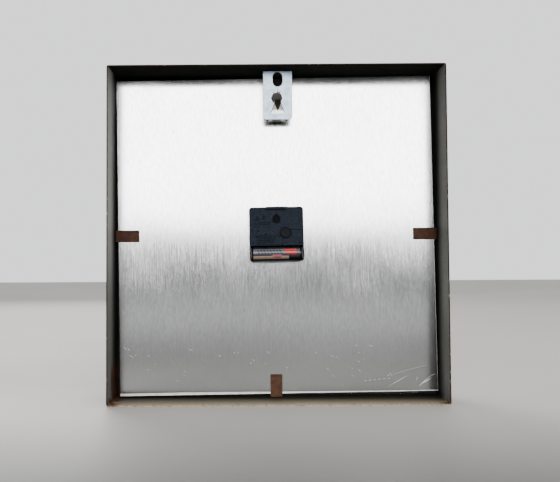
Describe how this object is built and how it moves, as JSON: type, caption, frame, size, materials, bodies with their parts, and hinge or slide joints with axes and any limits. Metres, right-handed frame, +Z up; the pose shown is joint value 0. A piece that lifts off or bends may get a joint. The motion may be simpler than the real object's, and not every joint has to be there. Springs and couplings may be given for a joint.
{
  "type": "wall clock",
  "caption": "Square wall clock: open-backed sheet-metal case, glass front, metal dial plate, hanging bracket, and a battery quartz movement geared to hour, minute and second hands.",
  "frame": {"origin": "centre of the bounding box's base: under the middle of the bottom wall, which the clock stands on", "axes": "+Z up; the dial faces -Y and the open back faces +Y; +X is to the right as seen from the front"},
  "size_m": [0.342, 0.062, 0.3435],
  "materials": {
    "grey_paint": "semi-gloss grey paint, chipped, rust at the rim and lower corners",
    "glass": "clear window glass",
    "black_strip": "matte",
    "dial_aluminium": "bare mill-finish sheet behind, printed in front",
    "brown_steel": "brown, rust-stained",
    "zinc": "zinc plated, spotted",
    "black_plastic": "fine moulded texture",
    "white_plastic": "moulded, satin",
    "steel": "satin",
    "brass": "turned, satin",
    "enamelled_wire": "enamelled copper winding",
    "circuit_board_green": "solder mask",
    "magnet": "dark, satin",
    "black_rubber": "matte",
    "battery_wrap": "glossy printed wrap, plain bands",
    "hand_black": "satin black paint",
    "hand_red": "satin red paint"
  },
  "bodies": {
    "case": {"case_shell": "grey_paint", "front_glass": "glass", "spacer_left": "black_strip", "spacer_right": "black_strip", "spacer_top": "black_strip", "spacer_bottom": "black_strip", "dial_plate": "dial_aluminium", "left_tab": "brown_steel", "right_tab": "brown_steel", "bottom_tab": "brown_steel", "hanging_bracket": "zinc", "bracket_rivet_1": "zinc", "bracket_rivet_2": "zinc", "movement_front_case": "black_plastic", "movement_back_cover": "black_plastic", "terminal_cover": "black_plastic", "bridge_plate": "white_plastic", "circuit_board": "circuit_board_green", "clock_chip": "black_plastic", "quartz_crystal": "steel", "coil": "enamelled_wire", "coil_core": "steel", "stator": "steel", "positive_contact": "steel", "negative_contact": "steel", "rubber_washer": "black_rubber", "brass_washer": "brass", "fixing_nut": "brass"},
    "seconds": {"second_wheel": "white_plastic", "second_hand": "hand_red"},
    "minutes": {"centre_wheel": "white_plastic", "cannon_pinion": "brass", "minute_hand": "hand_black", "hand_nut": "brass"},
    "hours": {"hour_wheel": "brass", "hour_hand": "hand_black"},
    "setting": {"motion_wheel": "white_plastic", "setting_knob": "black_plastic"},
    "third": {"third_wheel": "white_plastic"},
    "intermediate": {"intermediate_wheel": "white_plastic"},
    "motor_rotor": {"rotor": "magnet"},
    "battery": {"battery": "battery_wrap"}
  },
  "joints": [
    {"name": "seconds_turn", "type": "hinge", "parent": "case", "child": "seconds", "pos_m": [0, 0, 0.1718], "axis": [0, 1, 0], "continuous": true},
    {"name": "minutes_turn", "type": "hinge", "parent": "case", "child": "minutes", "pos_m": [0, 0, 0.1718], "axis": [0, 1, 0], "continuous": true},
    {"name": "hours_turn", "type": "hinge", "parent": "case", "child": "hours", "pos_m": [0, 0, 0.1718], "axis": [0, 1, 0], "continuous": true},
    {"name": "setting_turn", "type": "hinge", "parent": "case", "child": "setting", "pos_m": [-0.00934, 0, 0.17287], "axis": [0, 1, 0], "continuous": true},
    {"name": "third_turn", "type": "hinge", "parent": "case", "child": "third", "pos_m": [0.00548, 0, 0.17813], "axis": [0, 1, 0], "continuous": true},
    {"name": "intermediate_turn", "type": "hinge", "parent": "case", "child": "intermediate", "pos_m": [-0.00289, 0, 0.18019], "axis": [0, 1, 0], "continuous": true},
    {"name": "rotor_turn", "type": "hinge", "parent": "case", "child": "motor_rotor", "pos_m": [-0.00884, 0, 0.18372], "axis": [0, 1, 0], "continuous": true},
    {"name": "battery_slide", "type": "slide", "parent": "case", "child": "battery", "axis": [0, 1, 0], "range_m": [0, 0.03]}
  ],
  "couplings": [
    {"joint": "intermediate_turn", "follows": "seconds_turn", "ratio": -5},
    {"joint": "rotor_turn", "follows": "seconds_turn", "ratio": 30},
    {"joint": "third_turn", "follows": "seconds_turn", "ratio": -0.13333},
    {"joint": "minutes_turn", "follows": "seconds_turn", "ratio": 0.016667},
    {"joint": "setting_turn", "follows": "seconds_turn", "ratio": -0.0055556},
    {"joint": "hours_turn", "follows": "seconds_turn", "ratio": 0.0013889}
  ]
}
